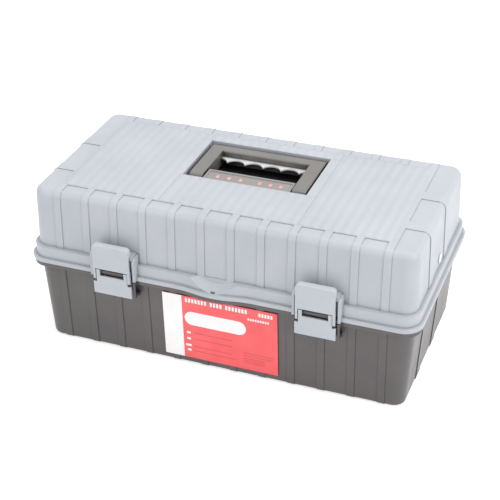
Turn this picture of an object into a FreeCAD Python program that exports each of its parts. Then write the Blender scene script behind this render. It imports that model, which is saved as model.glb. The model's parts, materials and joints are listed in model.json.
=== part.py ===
"""Tool case: a dark base, a tall light lid with a folding handle, two draw latches at the front,
and two trays on arms that rise with the lid.

Millimetres. X runs along the case, Y from the front (negative) to the hinge side, Z up.
The origin is the middle of the base's underside. The case is shut and the handle is folded.
"""
import FreeCAD, Part
import Sketcher
import math
import os

Vector = FreeCAD.Vector
Rotation = FreeCAD.Rotation

PARTS_FOLDER = "parts"

# Driving dimensions: alias, millimetres (or degrees or a count), what it is
DIMENSIONS = [
    ("case_length", 400, "length over the lid's lip"),
    ("case_depth", 204, "depth over the lid's lip"),
    ("case_height", 169, "underside to the ribbed panel"),
    ("rim_height", 92, "height of the joint between base and lid"),
    ("wall", 2.6, "wall of the two shells"),
    ("relief", 0.8, "height of the raised bands"),
    ("band_width", 7.4, "width of a band on the long walls"),
    ("band_count", 12, "bands on each long wall"),
    ("panel_half_length", 168.9, "ribbed panel, half its length"),
    ("panel_half_depth", 73.8, "ribbed panel, half its depth"),
    ("end_band_width", 14, "width of a band on the end walls"),
    ("end_band_front", -46, "front edge of the front end band"),
    ("end_band_rear", 12, "front edge of the rear end band"),
    ("lip_height", 4, "height of the lid's lower lip"),
    ("lip_radius", 19, "corner of the lip in plan"),
    ("flange_step", 3, "step from the lip in to the flange"),
    ("flange_height", 15.6, "lip underside to the flange's ledge"),
    ("lid_foot_half_length", 194.8, "lid wall at the joint, half its length"),
    ("lid_foot_half_depth", 95.6, "lid wall at the joint, half its depth"),
    ("lid_foot_radius", 14, "corner of the lid wall at the joint"),
    ("lid_top_half_length", 193.2, "lid wall at the top, half its length"),
    ("lid_top_half_depth", 91.2, "lid wall at the top, half its depth"),
    ("lid_top_radius", 12, "corner of the lid wall at the top"),
    ("lid_edge_round", 8, "rounding of the lid's top edge"),
    ("pocket_height", 13.4, "height of the lid's wider inside at the joint"),
    ("pocket_clearance", 1.6, "from the tongue to the lid's inside"),
    ("base_top_half_length", 193.3, "base wall under the rim, half its length"),
    ("base_top_half_depth", 95.6, "base wall under the rim, half its depth"),
    ("base_top_radius", 14, "corner of the base wall under the rim"),
    ("base_foot_half_length", 187.5, "base underside, half its length"),
    ("base_foot_half_depth", 94, "base underside, half its depth"),
    ("base_foot_radius", 12, "corner of the base underside"),
    ("base_edge_round", 4, "rounding of the base's lower edge"),
    ("rim_inset", 1.2, "lip to the base's rim"),
    ("rim_drop", 5, "height of the base's rim"),
    ("rim_chamfer", 0.8, "chamfer on top of the rim, seen as a dark line"),
    ("tongue_height", 4.5, "height of the base's tongue inside the lid"),
    ("tongue_inset", 0.5, "tongue behind the face of the base wall"),
    ("tab_half_width", 40, "padlock tab, half its width"),
    ("tab_reach", 4.4, "padlock tab in front of the lip"),
    ("bell_depth", 8, "how far a bell outline's solid goes back behind its foot"),
    ("scoop_half_width", 38, "hollow over the tab, half its width"),
    ("scoop_depth", 12.6, "hollow over the tab, from its shoulders to its floor"),
    ("scoop_back_height", 102.8, "hollow's floor at the lid wall"),
    ("scoop_front_height", 95.6, "hollow's floor at the front of the flange"),
    ("slot_length", 4.5, "padlock slot along the case"),
    ("slot_width", 2, "padlock slot across"),
    ("slot_y", -102.5, "middle of the padlock slot"),
    ("tab_pocket_height", 7.5, "height of the lid's wider inside behind the tab"),
    ("recess_half_length", 64.2, "handle recess, half its length"),
    ("recess_front", -17.3, "front wall of the handle recess"),
    ("recess_rear", 59.7, "rear wall of the handle recess"),
    ("recess_floor", 147, "floor of the handle recess"),
    ("recess_wall", 2.2, "wall round the recess"),
    ("seat_floor", 1.6, "floor of the dark insert"),
    ("seat_gap", 0.3, "insert to the recess walls"),
    ("block_half_length", 45.3, "raised plate of the insert, half its length"),
    ("block_rear", 8.2, "rear edge of the raised plate"),
    ("block_top", 166, "top of the raised plate"),
    ("block_round", 2.5, "rounded rear edge of the raised plate"),
    ("border_width", 2, "border round the raised plate"),
    ("border_depth", 0.8, "depth of the sunk face inside the border"),
    ("handle_axis_y", -5.3, "handle pivot"),
    ("handle_axis_height", 159.8, "handle pivot"),
    ("handle_thickness", 15.2, "handle leg, top to underside"),
    ("leg_inner", 46.8, "inner face of a handle leg"),
    ("leg_outer", 61.6, "outer face of a handle leg"),
    ("grip_front", 45.2, "front of the grip bar"),
    ("grip_rear", 56.6, "rear of the grip bar"),
    ("grip_front_round", 1.8, "rounded front edge of the grip bar"),
    ("handle_edge_round", 1.8, "rounded outer edges of the handle"),
    ("strip_half_length", 46.7, "pale strip in the grip bar, half its length"),
    ("strip_front", 35.3, "front of the pale strip, where two scallops meet"),
    ("strip_rear", 50, "rear of the pale strip, inside the grip bar"),
    ("strip_low", 159, "underside of the pale strip"),
    ("strip_top", 160.5, "top of the pale strip"),
    ("scallop_count", 6, "finger scallops in the strip's front edge, the outer ones cut short by the legs"),
    ("scallop_radius", 10.4, "finger scallop"),
    ("scallop_pitch", 19.2, "finger scallop to the next"),
    ("scallop_depth", 6.4, "how far a scallop cuts into the strip"),
    ("trunnion_radius", 3.2, "handle pivot stub"),
    ("trunnion_length", 6, "handle pivot stub"),
    ("running", 0.06, "radial clearance of a running fit"),
    ("hinge_axis_y", 108, "lid hinge axis"),
    ("hinge_offset", 104, "middle of a hinge from the case's middle"),
    ("hinge_pin_radius", 1.5, "steel hinge pin"),
    ("knuckle_radius", 4.2, "hinge knuckle"),
    ("knuckle_length", 12, "base knuckle along the pin"),
    ("knuckle_half", 10, "lid knuckle, half its length"),
    ("knuckle_gap", 0.4, "lid knuckle to a base knuckle"),
    ("latch_offset", 103.4, "middle of a latch from the case's middle"),
    ("latch_half_width", 20, "latch lever, half its width"),
    ("link_half_width", 19.3, "latch link, half its width"),
    ("fin_inner", 21, "inner face of a fin beside the latch"),
    ("fin_thickness", 2.6, "fin beside the latch"),
    ("fin_top", 117.4, "top of a fin"),
    ("fin_front", -105.5, "front of a fin"),
    ("fin_round", 5, "quarter round at the top of a fin"),
    ("gusset_thickness", 2, "loop under the rim beside the latch"),
    ("gusset_foot", 73.4, "underside of the loop"),
    ("gusset_bar", 2, "width of the loop's bars"),
    ("port_inner", 14.8, "hole in the base wall beside the bracket, its inner edge"),
    ("port_outer", 22.8, "hole in the base wall beside the bracket, its outer edge"),
    ("port_low", 70.5, "hole in the base wall beside the bracket, its lower edge"),
    ("port_high", 86.4, "hole in the base wall beside the bracket, its upper edge"),
    ("tongue_gap", 24.4, "gap in the tongue behind a latch, half its width"),
    ("notch_half_width", 20.9, "gap in the flange behind the latch, half its width"),
    ("catch_top", 118.7, "top of the catch bar"),
    ("catch_thickness", 3, "catch bar, top to underside"),
    ("catch_front", -105.4, "front of the catch bar"),
    ("bar_y", -103.2, "pivot bar of the latch lever"),
    ("bar_height", 96.5, "pivot bar of the latch lever"),
    ("bar_radius", 2.4, "pivot bar of the latch lever"),
    ("bar_half_length", 16.7, "pivot bar, half its length"),
    ("cheek_inner", 12, "inner face of a bracket cheek"),
    ("cheek_thickness", 2.2, "bracket cheek"),
    ("ear_thickness", 2, "ring of the lever on the pivot bar"),
    ("ear_radius", 4.6, "ring of the lever on the pivot bar"),
    ("lever_face", -108, "front face of the lever"),
    ("lever_plate", 2.2, "lever's plate"),
    ("lever_foot", 73, "lower edge of the lever"),
    ("lever_top", 101, "top of the lever"),
    ("window_half", 12.8, "window in the lever, half its length"),
    ("window_low", 94, "lower edge of the window"),
    ("tongue_half", 16.4, "lever between the link's legs, half its width"),
    ("link_pin_y", -105.4, "pivot of the link on the lever"),
    ("link_pin_height", 92, "pivot of the link on the lever"),
    ("link_pin_radius", 1.5, "pivot of the link on the lever"),
    ("lever_drop", 5, "link pivot down to the lever's shoulders"),
    ("lever_bevel", 1.5, "rounded lower edge of the lever"),
    ("link_corner", 4, "rounded upper corners of the link"),
    ("link_face", -108.6, "front face of the link"),
    ("link_plate", 2.4, "link's plate"),
    ("leg_width", 2.4, "width of a link leg"),
    ("link_low", 102.2, "lower edge of the link's plate"),
    ("link_bevel", 0.9, "bevel on the link's top front edge"),
    ("hook_low", 119, "underside of the hook"),
    ("hook_tip", -102.8, "rear edge of the hook"),
    ("hook_top", 129, "top of the link and its hook"),
    ("label_left", -56.4, "label, left edge"),
    ("label_right", 62.4, "label, right edge"),
    ("label_low", 8, "label, lower edge"),
    ("label_high", 81.5, "label, upper edge"),
    ("label_thickness", 0.4, "label"),
    ("lid_rivet_y", -4, "rivet that joins the upper tray to the lid"),
    ("lid_rivet_height", 117, "rivet that joins the upper tray to the lid"),
    ("long_arm_y", 34, "long arm's pivot in the base"),
    ("long_arm_height", 80, "long arm's pivot in the base"),
    ("short_arm_y", 60, "short arm's pivot in the base"),
    ("short_arm_height", 68, "short arm's pivot in the base"),
    ("middle_pin_dy", -52, "arm pivot to the lower tray's pin"),
    ("middle_pin_dz", 6, "arm pivot to the lower tray's pin"),
    ("arm_thickness", 2, "arm plate"),
    ("arm_radius", 5.2, "half the width of an arm, and its rounded ends"),
    ("short_layer", 183.6, "inner face of the short arms"),
    ("long_layer", 186.6, "inner face of the long arms"),
    ("short_bore_end", 189.9, "blind end of the short arm's hole in the base"),
    ("long_bore_end", 190.7, "blind end of the long arm's hole in the base"),
    ("layer_gap", 0.1, "play between an arm and what is beside it"),
    ("tray_half_length", 182.2, "trays, half their length"),
    ("tray_wall", 1.8, "wall of the trays"),
    ("tray_front", -88, "front of both trays"),
    ("tray_rear", 16, "rear of both trays"),
    ("tray_corner", 6, "corner of the trays in plan"),
    ("lower_tray_low", 60, "underside of the lower tray"),
    ("lower_tray_height", 34, "height of the lower tray"),
    ("upper_tray_low", 98, "underside of the upper tray"),
    ("upper_tray_height", 33, "height of the upper tray"),
    ("divider_thickness", 1.6, "loose divider"),
    ("divider_gap", 0.3, "divider to its groove"),
    ("divider_drop", 3, "divider below the tray's rim"),
    ("rivet_radius", 2.5, "rivet shank"),
    ("rivet_head", 4, "rivet head on the arms"),
    ("rivet_head_height", 0.7, "rivet head on the arms"),
    ("boss_radius", 4.6, "boss round a pivot"),
    ("lid_boss_radius", 6, "tray's boss at the lid rivet"),
    ("lid_boss_end", 191.3, "outer end of the tray's boss at the lid rivet"),
    ("lid_rivet_seat", 193.25, "flat seat of the lid rivet on the end wall"),
    ("lid_rivet_head", 5, "pale rivet head on the lid's end wall"),
    ("lid_rivet_head_height", 1.3, "pale rivet head on the lid's end wall"),
    ("groove_depth", 0.8, "groove that holds a divider"),
]

doc = FreeCAD.newDocument("ToolCase")
sheet = doc.addObject("Spreadsheet::Sheet", "Sheet")
for row, (alias, number, meaning) in enumerate(DIMENSIONS, 1):
    sheet.set("A%d" % row, meaning)
    sheet.set("B%d" % row, str(number))
    sheet.setAlias("B%d" % row, alias)
doc.recompute()

nodes = {}


def ex(text):
    """An expression in which a bare alias stands for its cell."""
    words = []
    word = ""
    for letter in str(text) + " ":
        if letter.isalnum() or letter in "_.":
            word += letter
            continue
        words.append("Sheet." + word if word in ALIASES else word)
        words.append(letter)
        word = ""
    return "".join(words).strip()


ALIASES = {alias for alias, _, _ in DIMENSIONS}
probe = doc.addObject("App::FeaturePython", "Probe")


def value(text):
    """The number that an expression gives."""
    return float(probe.evalExpression(ex(text)))


def bind(item, field, text):
    item.setExpression(field, ex(text))


def place(item, x="0", y="0", z="0"):
    for letter, text in zip("xyz", (x, y, z)):
        if str(text) != "0":
            bind(item, "Placement.Base." + letter, text)


def box(name, x, y, z):
    """A block between two bounds on each axis."""
    item = doc.addObject("Part::Box", name)
    for field, (low, high) in zip(("Length", "Width", "Height"), (x, y, z)):
        bind(item, field, "(%s) - (%s)" % (high, low))
    place(item, x[0], y[0], z[0])
    return item


def rod(name, radius, x, y, z):
    """A cylinder along X between two bounds."""
    item = doc.addObject("Part::Cylinder", name)
    bind(item, "Radius", radius)
    bind(item, "Height", "(%s) - (%s)" % (x[1], x[0]))
    item.Placement = FreeCAD.Placement(Vector(), Rotation(Vector(0, 1, 0), 90))
    place(item, x[0], y, z)
    return item


def fuse(name, items):
    item = doc.addObject("Part::MultiFuse", name)
    item.Shapes = items
    item.Refine = True
    return item


def common(name, first, second):
    item = doc.addObject("Part::Common", name)
    item.Base, item.Tool = first, second
    return item


def cut(name, base, tool):
    item = doc.addObject("Part::Cut", name)
    item.Base, item.Tool = base, tool
    item.Refine = True
    return item


LYING = Rotation()
ACROSS = Rotation(Vector(1, 1, 1), 120)
UPRIGHT = Rotation(Vector(1, 0, 0), 90)
QUARTER_TURN = math.pi / 2


def outline(name, points):
    """A closed sketch of straight lines across the case, each corner (y, z) bound to the sheet."""
    sketch = doc.addObject("Sketcher::SketchObject", name)
    sketch.Placement = FreeCAD.Placement(Vector(), ACROSS)
    corners = [Vector(value(across), value(up), 0) for across, up in points]
    for index, corner in enumerate(corners):
        following = corners[(index + 1) % len(corners)]
        sketch.addGeometry(Part.LineSegment(corner, following), False)
    for index, (across, up) in enumerate(points):
        following = (index + 1) % len(points)
        sketch.addConstraint(Sketcher.Constraint("Coincident", index, 2, following, 1))
        for kind, text in (("DistanceX", across), ("DistanceY", up)):
            row = sketch.addConstraint(Sketcher.Constraint(kind, -1, 1, index, 1, value(text)))
            sketch.setExpression("Constraints[%d]" % row, ex(text))
    return sketch


def rounded_rectangle(name, half_x, half_y, radius, z):
    """A rounded rectangle at a height, centred on X."""
    sketch = doc.addObject("Sketcher::SketchObject", name)
    a, b, r = value(half_x), value(half_y), value(radius)
    sides = [((-a + r, -b), (a - r, -b)), ((a, -b + r), (a, b - r)),
             ((a - r, b), (-a + r, b)), ((-a, b - r), (-a, -b + r))]
    for start, end in sides:
        sketch.addGeometry(Part.LineSegment(Vector(*start, 0), Vector(*end, 0)), False)
    for index, (x, y) in enumerate(((a - r, -b + r), (a - r, b - r), (-a + r, b - r), (-a + r, -b + r))):
        circle = Part.Circle(Vector(x, y, 0), Vector(0, 0, 1), r)
        sketch.addGeometry(Part.ArcOfCircle(circle, (index - 1) * QUARTER_TURN, index * QUARTER_TURN), False)
    for index in range(4):
        arc = 4 + index
        sketch.addConstraint(Sketcher.Constraint("Tangent", index, 2, arc, 1))
        sketch.addConstraint(Sketcher.Constraint("Tangent", arc, 2, (index + 1) % 4, 1))
        sketch.addConstraint(Sketcher.Constraint(("Horizontal", "Vertical")[index % 2], index))
        if index:
            sketch.addConstraint(Sketcher.Constraint("Equal", 4, arc))
    sketch.addConstraint(Sketcher.Constraint("Symmetric", 4, 3, 6, 3, -1, 1))
    for kind, geometry, number, text in (
            ("Radius", (4,), r, radius),
            ("DistanceX", (-1, 1, 1, 1), a, half_x),
            ("DistanceY", (-1, 1, 2, 1), b, half_y)):
        row = sketch.addConstraint(Sketcher.Constraint(kind, *geometry, number))
        sketch.setExpression("Constraints[%d]" % row, ex(text))
    place(sketch, z=z)
    return sketch


def extrusion(name, sketch, length, start):
    """A solid from a sketch, from a distance along the sketch's normal: X for outlines, Z for plans."""
    item = doc.addObject("Part::Extrusion", name)
    item.Base = sketch
    item.DirMode = "Normal"
    item.Solid = True
    bind(item, "LengthFwd", length)
    normal = sketch.Placement.Rotation.multVec(Vector(0, 0, 1))
    bind(sketch, "Placement.Base." + ("x" if normal.x > 0.5 else "z"), start)
    return item


def loft(name, sections):
    item = doc.addObject("Part::Loft", name)
    item.Sections = sections
    item.Solid = True
    item.Ruled = True
    return item


def rounded(name, base, radius, picks):
    """A fillet on the edges that a test picks from the shape."""
    doc.recompute()
    item = doc.addObject("Part::Fillet", name)
    item.Base = base
    size = value(radius)
    item.Edges = [(index, size, size) for index, edge in enumerate(base.Shape.Edges, 1) if picks(edge)]
    return item


def bevelled(name, base, size_text, picks):
    doc.recompute()
    item = doc.addObject("Part::Chamfer", name)
    item.Base = base
    size = value(size_text)
    item.Edges = [(index, size, size) for index, edge in enumerate(base.Shape.Edges, 1) if picks(edge)]
    return item


def level(z, tolerance=0.01):
    """Picks the edges that lie at one height."""
    return lambda edge: abs(edge.BoundBox.ZMin - z) < tolerance and abs(edge.BoundBox.ZMax - z) < tolerance


def along_case(y_text, z_text, tolerance=0.01):
    """Picks the edge along X that lies at a place across the case."""
    y, z = value(y_text), value(z_text)

    def picks(edge):
        bounds = edge.BoundBox
        return (bounds.XLength > 0.1 and bounds.YLength < tolerance and bounds.ZLength < tolerance
                and abs(bounds.YMax - y) < tolerance and abs(bounds.ZMin - z) < tolerance)
    return picks


def finish(name, item):
    """Gives the sub-part the label that names its file."""
    item.Label = name
    nodes[name] = item
    return item


def band_grid(name, low, high):
    """Slabs across the case for the bands of the long walls, and short ones for the end walls."""
    slabs = []
    count = int(value("band_count"))
    for index in range(count):
        left = "-panel_half_length + %d * (2 * panel_half_length - band_width) / %d" % (index, count - 1)
        slabs.append(box("%s_band_%d" % (name, index + 1), (left, left + " + band_width"),
                         ("-case_depth", "case_depth"), (low, high)))
    for place_name in ("front", "rear"):
        start = "end_band_" + place_name
        for side, span in (("left", ("-case_length", "-panel_half_length")),
                           ("right", ("panel_half_length", "case_length"))):
            slabs.append(box("%s_end_band_%s_%s" % (name, place_name, side), span,
                             (start, start + " + end_band_width"), (low, high)))
    return slabs


def wall_body(name, low, high, low_sizes, high_sizes, edge_height, edge_round):
    """A drafted wall with raised bands: a full body where the bands are, a slimmer one between them."""
    bodies = []
    for kind, inset in (("full", "0"), ("slim", "relief")):
        sections = []
        for tag, height, sizes in (("low", low, low_sizes), ("high", high, high_sizes)):
            half_x, half_y, radius = sizes
            sections.append(rounded_rectangle("%s_%s_%s" % (name, kind, tag), "%s - %s" % (half_x, inset),
                                              "%s - %s" % (half_y, inset), radius, height))
        solid = loft("%s_%s_body" % (name, kind), sections)
        bodies.append(rounded("%s_%s_rounded" % (name, kind), solid, edge_round, level(value(edge_height))))
    return bodies


# Lid: the drafted crown, with the bands and the ribbed panel standing proud of the walls
flange_top = "rim_height + flange_height"
crown_full, crown_slim_tall = wall_body(
    "crown", "rim_height", "case_height",
    ("lid_foot_half_length", "lid_foot_half_depth", "lid_foot_radius"),
    ("lid_top_half_length", "lid_top_half_depth", "lid_top_radius"),
    "case_height", "lid_edge_round")
crown_slim = common("crown_slim", crown_slim_tall, box(
    "crown_slim_limit", ("-case_length", "case_length"), ("-case_depth", "case_depth"),
    ("0", "case_height - relief")))
crown_bands = fuse("crown_band_slabs", band_grid("crown", "rim_height", "case_height + 1") + [box(
    "crown_panel", ("-panel_half_length", "panel_half_length"), ("-panel_half_depth", "panel_half_depth"),
    ("case_height - 10", "case_height + 1"))])
crown_raised = common("crown_raised", crown_full, crown_bands)

# Flange in two steps, with the padlock tab bulging out of both
lip = extrusion("lip", rounded_rectangle(
    "lip_plan", "case_length / 2", "case_depth / 2", "lip_radius", "rim_height"), "lip_height", "rim_height")
flange = extrusion("flange", rounded_rectangle(
    "flange_plan", "case_length / 2 - flange_step", "case_depth / 2 - flange_step",
    "lip_radius - flange_step / 2", "rim_height"), "flange_height", "rim_height")


def bell_block(name, half, reach, depth, along, placement):
    """A solid whose front bulges like a bell: an arc outwards between two that ease it into its foot.

    In its own frame the bell opens towards -Y from a foot at Y 0, with the solid behind it.
    """
    half, reach, depth = value(half), value(reach), value(depth)
    radius = (half * half / 4 + reach * reach / 4) / reach
    sag = radius - (radius * radius - half * half / 16) ** 0.5
    foot_left, foot_right = Vector(-half, 0, 0), Vector(half, 0, 0)
    turn_left, turn_right = Vector(-half / 2, -reach / 2, 0), Vector(half / 2, -reach / 2, 0)
    back_left, back_right = Vector(-half, depth, 0), Vector(half, depth, 0)
    curves = [Part.Arc(foot_left, Vector(-0.75 * half, -sag, 0), turn_left),
              Part.Arc(turn_left, Vector(0, -reach, 0), turn_right),
              Part.Arc(turn_right, Vector(0.75 * half, -sag, 0), foot_right),
              Part.LineSegment(foot_right, back_right),
              Part.LineSegment(back_right, back_left),
              Part.LineSegment(back_left, foot_left)]
    item = doc.addObject("Part::Feature", name)
    item.Shape = Part.Face(Part.Wire([curve.toShape() for curve in curves])).extrude(along)
    item.Placement = placement
    return item


def tab_block(name, inset, low, height):
    """The padlock tab as it bulges out of the rim's front."""
    place_of_foot = Vector(0, value("-case_depth / 2 + " + inset), value(low))
    return bell_block(name, "tab_half_width", "tab_reach", "bell_depth", Vector(0, 0, value(height)),
                      FreeCAD.Placement(place_of_foot, LYING))


lid_tab = [tab_block("lid_tab_lip", "0", "rim_height", "lip_height"),
           tab_block("lid_tab_flange", "flange_step", "rim_height", "flange_height")]

# Hollow over the tab: a bell-shaped cutter that slopes down from the lid wall to the flange's front
scoop_start = "-lid_foot_half_depth + relief"
scoop_run = value("case_depth / 2 + tab_reach - flange_step - lid_foot_half_depth + relief")
scoop_drop = value("scoop_back_height - scoop_front_height")
scoop_reach = 1.5
scoop_foot = Vector(0, value(scoop_start), value("scoop_back_height + scoop_depth"))
scoop_slide = bell_block("scoop_slide", "scoop_half_width", "scoop_depth", "2 * scoop_depth",
                         Vector(0, -scoop_drop, scoop_run) * scoop_reach,
                         FreeCAD.Placement(scoop_foot, UPRIGHT))
# The lip passes under the hollow uncut
scoop = common("scoop", scoop_slide, box("scoop_limit", ("-case_length", "case_length"),
                                         ("-case_depth", "case_depth"),
                                         ("rim_height + lip_height", "2 * case_height")))
slot_span = ("slot_y - slot_width / 2", "slot_y + slot_width / 2")
slot_length_span = ("-slot_length / 2", "slot_length / 2")
lid_slot = box("lid_slot", slot_length_span, slot_span, ("rim_height - 1", "case_height"))

# Latch surround on the lid: a gap in the flange, a fin on each side and the catch bar between them
SIDES = (("left", "-"), ("right", ""))
notches, fins, catches = [], [], []
for side, sign in SIDES:
    middle = "%slatch_offset" % sign
    notches.append(box("latch_notch_" + side, (middle + " - notch_half_width", middle + " + notch_half_width"),
                       ("-case_depth", "-lid_foot_half_depth + relief"),
                       ("rim_height - 1", flange_top + " + 1")))
    catches.append(box("catch_" + side, (middle + " - fin_inner", middle + " + fin_inner"),
                       ("catch_front", "-lid_foot_half_depth + wall"),
                       ("catch_top - catch_thickness", "catch_top")))
    for tag, start in (("low", middle + " - fin_inner - fin_thickness"),
                       ("high", middle + " + fin_inner")):
        blade = box("fin_blade_%s_%s" % (side, tag), (start, start + " + fin_thickness"),
                    ("fin_front", "-lid_foot_half_depth + wall"), ("rim_height", "fin_top"))
        fins.append(rounded("fin_%s_%s" % (side, tag), blade, "fin_round", along_case("fin_front", "fin_top")))

# Hinge knuckles: the lid's between two of the base's, on each side
lid_knuckles, base_knuckles, hinge_bores, base_bores = [], [], [], []
for side, sign in SIDES:
    middle = "%shinge_offset" % sign
    span = (middle + " - knuckle_half", middle + " + knuckle_half")
    lid_knuckles.append(rod("lid_knuckle_" + side, "knuckle_radius", span, "hinge_axis_y", "rim_height"))
    lid_knuckles.append(box("lid_knuckle_web_" + side, span,
                            ("case_depth / 2 - flange_step", "hinge_axis_y"),
                            ("rim_height + 1", "rim_height + knuckle_radius")))
    hinge_bores.append(rod("lid_knuckle_bore_" + side, "hinge_pin_radius + running",
                           (middle + " - case_length / 10", middle + " + case_length / 10"),
                           "hinge_axis_y", "rim_height"))
    for tag, low, high in (("low", middle + " - knuckle_half - knuckle_gap - knuckle_length",
                            middle + " - knuckle_half - knuckle_gap"),
                           ("high", middle + " + knuckle_half + knuckle_gap",
                            middle + " + knuckle_half + knuckle_gap + knuckle_length")):
        base_knuckles.append(rod("base_knuckle_%s_%s" % (side, tag), "knuckle_radius", (low, high),
                                 "hinge_axis_y", "rim_height"))
        base_knuckles.append(extrusion("base_knuckle_web_%s_%s" % (side, tag), outline(
            "base_knuckle_web_profile_%s_%s" % (side, tag), [
                ("base_top_half_depth - wall / 2", "rim_height - rim_drop"),
                ("case_depth / 2 - rim_inset", "rim_height - 1"),
                ("hinge_axis_y", "rim_height - 1"), ("hinge_axis_y + 1", "rim_height - knuckle_radius"),
                ("base_top_half_depth - wall / 2", "rim_height - rim_drop - 9")]), "knuckle_length", low))
    bore_span = (middle + " - knuckle_half - knuckle_gap - knuckle_length + 1",
                 middle + " + knuckle_half + knuckle_gap + knuckle_length - 1")
    base_bores.append(rod("base_knuckle_bore_" + side, "hinge_pin_radius", bore_span,
                          "hinge_axis_y", "rim_height"))
    finish("hinge_pin_" + side, rod("hinge_pin_" + side, "hinge_pin_radius", bore_span,
                                    "hinge_axis_y", "rim_height"))

# Handle recess and the inside of the lid
recess = box("recess", ("-recess_half_length", "recess_half_length"), ("recess_front", "recess_rear"),
             ("recess_floor", "case_height + 1"))
recess_block = box("recess_block", ("-recess_half_length - recess_wall", "recess_half_length + recess_wall"),
                   ("recess_front - recess_wall", "recess_rear + recess_wall"),
                   ("recess_floor - recess_wall", "case_height"))
lid_room = rounded("lid_room", loft("lid_room_sharp", [
    rounded_rectangle("lid_room_low", "lid_foot_half_length - wall", "lid_foot_half_depth - wall",
                      "lid_foot_radius - wall", "rim_height - 0.5"),
    rounded_rectangle("lid_room_high", "lid_top_half_length - wall", "lid_top_half_depth - wall",
                      "lid_top_radius - wall", "case_height - wall")]),
    "lid_edge_round - wall", level(value("case_height - wall")))
tongue_half_x = "base_top_half_length - tongue_inset"
tongue_half_y = "base_top_half_depth - tongue_inset"
lid_pocket_tall = extrusion("lid_pocket_tall", rounded_rectangle(
    "lid_pocket_plan", tongue_half_x + " + pocket_clearance", tongue_half_y + " + pocket_clearance",
    "base_top_radius + pocket_clearance", "rim_height"), "pocket_height + 0.5", "rim_height - 0.5")
lid_pocket = cut("lid_pocket", lid_pocket_tall, box(
    "lid_pocket_limit", ("-tab_half_width", "tab_half_width"), ("-case_depth", "-lid_foot_half_depth + wall"),
    ("rim_height + tab_pocket_height", "case_height")))
lid_rivet_holes = []
for side, sign in SIDES:
    for tag, radius, inner in (("hole", "rivet_radius", "tray_half_length"),
                               ("seat", "lid_rivet_head + 0.3", "lid_rivet_seat")):
        ends = (inner, "case_length / 2 + 1") if side == "right" else ("-case_length / 2 - 1", "-" + inner)
        lid_rivet_holes.append(rod("lid_rivet_%s_%s" % (tag, side), radius, ends,
                                   "lid_rivet_y", "lid_rivet_height"))

lid_outside = cut("lid_flanged", fuse("lid_outside", [crown_slim, crown_raised, lip, flange] + lid_tab),
                  fuse("lid_front_cuts", [scoop, lid_slot] + notches))
lid_inside = cut("lid_inside", fuse("lid_hollow", [lid_room, lid_pocket]), recess_block)
lid_solid = cut("lid_hollowed", lid_outside, lid_inside)
# The flange's gaps behind the latches are closed by the lid's own straight wall
notch_walls = [common("notch_wall_" + side, crown_slim, box(
    "notch_wall_box_" + side,
    ("%slatch_offset - fin_inner" % sign, "%slatch_offset + fin_inner" % sign),
    ("-case_depth", "-lid_foot_half_depth + wall - 0.4"), ("rim_height", flange_top))) for side, sign in SIDES]
lid_joined = fuse("lid_joined", [lid_solid] + notch_walls + fins + catches + lid_knuckles)
lid_openings = fuse("lid_openings", [recess] + lid_rivet_holes + hinge_bores)
finish("lid_shell", cut("lid_shell", lid_joined, lid_openings))

# Base: drafted tub with the same bands, a rim, and a tongue that stands inside the lid
base_full, base_slim = wall_body(
    "tub", "0", "rim_height - rim_drop + 1",
    ("base_foot_half_length", "base_foot_half_depth", "base_foot_radius"),
    ("base_top_half_length", "base_top_half_depth", "base_top_radius"),
    "0", "base_edge_round")
base_bands = fuse("tub_band_slabs", band_grid("tub", "-1", "rim_height"))
base_raised = common("tub_raised", base_full, base_bands)
rim_plan = rounded_rectangle("rim_plan", "case_length / 2 - rim_inset", "case_depth / 2 - rim_inset",
                             "lip_radius - rim_inset", "rim_height")
rim_block = extrusion("rim_block", rim_plan, "rim_drop", "rim_height - rim_drop")
rim = bevelled("rim", fuse("rim_and_tab", [rim_block, tab_block(
    "base_tab", "rim_inset", "rim_height - rim_drop", "rim_drop")]), "rim_chamfer", level(value("rim_height")))
tongue = extrusion("tongue", rounded_rectangle(
    "tongue_plan", tongue_half_x, tongue_half_y, "base_top_radius - tongue_inset", "rim_height"),
    "rim_drop + tongue_height", "rim_height - rim_drop")
base_room = loft("base_room", [
    rounded_rectangle("base_room_low", "base_foot_half_length - wall", "base_foot_half_depth - wall",
                      "base_foot_radius - wall", "wall"),
    rounded_rectangle("base_room_high", "base_top_half_length - wall", "base_top_half_depth - wall",
                      "base_top_radius - wall", "rim_height + tongue_height + 1")])
base_room_rounded = rounded("base_room_rounded", base_room, "base_edge_round - wall", level(value("wall")))
tongue_gaps = [box("tongue_gap_" + side,
                   ("%slatch_offset - tongue_gap" % sign, "%slatch_offset + tongue_gap" % sign),
                   ("-case_depth / 2", "-base_top_half_depth + 2 * wall"), ("rim_height", "case_height"))
               for side, sign in SIDES]
base_slot = box("base_slot", slot_length_span, slot_span, ("0", "rim_height + 1"))

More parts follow.
